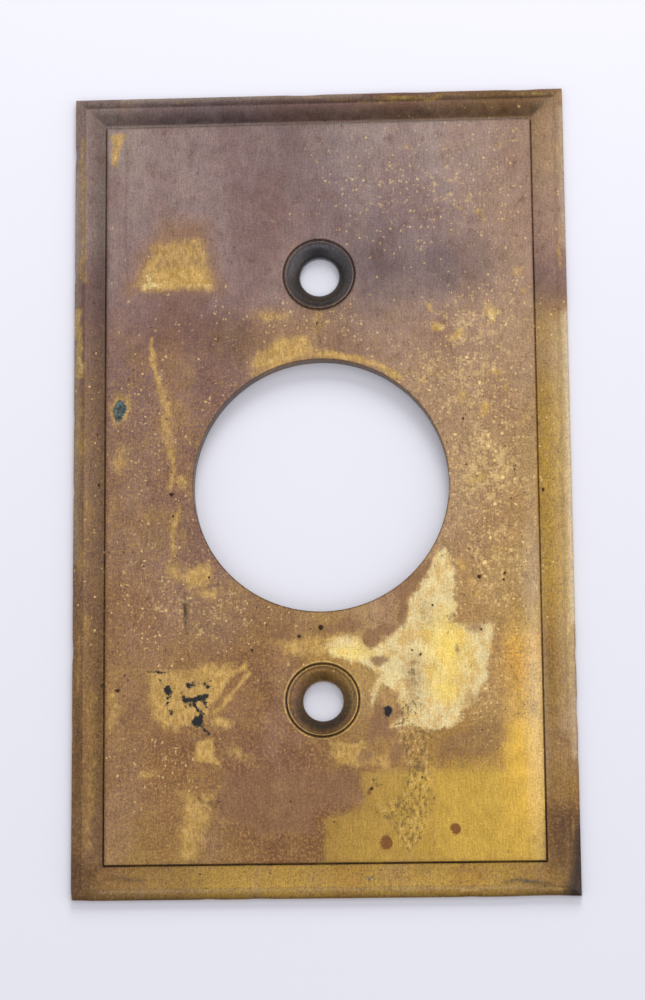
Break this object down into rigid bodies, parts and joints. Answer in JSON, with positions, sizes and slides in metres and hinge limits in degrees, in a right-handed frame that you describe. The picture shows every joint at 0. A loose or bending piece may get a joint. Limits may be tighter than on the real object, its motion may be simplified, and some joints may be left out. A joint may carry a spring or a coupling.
{
  "type": "single receptacle wall plate",
  "caption": "Flat rectangular cast brass cover plate with a moulded border, a round receptacle hole and countersunk screw holes.",
  "frame": {"origin": "centre of the flat back face, on the line of the receptacle hole", "axes": "+Z out of the moulded face, +Y along the length from the lower to the upper screw hole, +X across the width to the right"},
  "size_m": [0.0698, 0.1142, 0.0025],
  "materials": {
    "patinated_brass": "old brass with purple-brown tarnish, worn golden patches, fine vertical brushing and small dark pits"
  },
  "bodies": {
    "root": {"wall_plate": "patinated_brass"}
  },
  "joints": []
}
